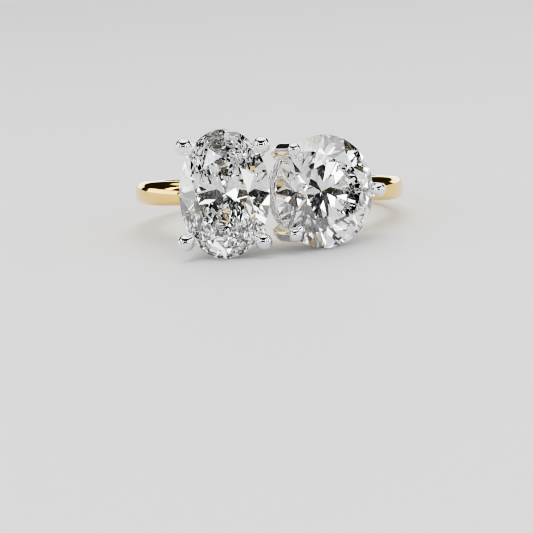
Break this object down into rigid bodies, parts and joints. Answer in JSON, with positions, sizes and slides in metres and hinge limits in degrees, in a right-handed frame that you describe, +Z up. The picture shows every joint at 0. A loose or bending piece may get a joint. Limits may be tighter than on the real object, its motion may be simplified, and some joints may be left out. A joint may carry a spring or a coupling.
{
  "type": "toi et moi ring",
  "caption": "Gold finger ring with an oval and a round brilliant set edge to edge in white metal claw baskets, lying on its side.",
  "frame": {"origin": "middle of the finger hole, on the finger's axis, half way along the wall", "axes": "the ring lies on its side: -Y towards the stones, +X to the right of a viewer who faces them, +Z up from the surface it rests on"},
  "size_m": [0.0202, 0.0247, 0.0086],
  "materials": {
    "yellow_gold": "polished",
    "white_gold": "polished",
    "diamond": "faceted and polished"
  },
  "bodies": {
    "root": {"shank": "yellow_gold", "oval_setting": "white_gold", "round_setting": "white_gold", "oval_stone": "diamond", "round_stone": "diamond"}
  },
  "joints": []
}
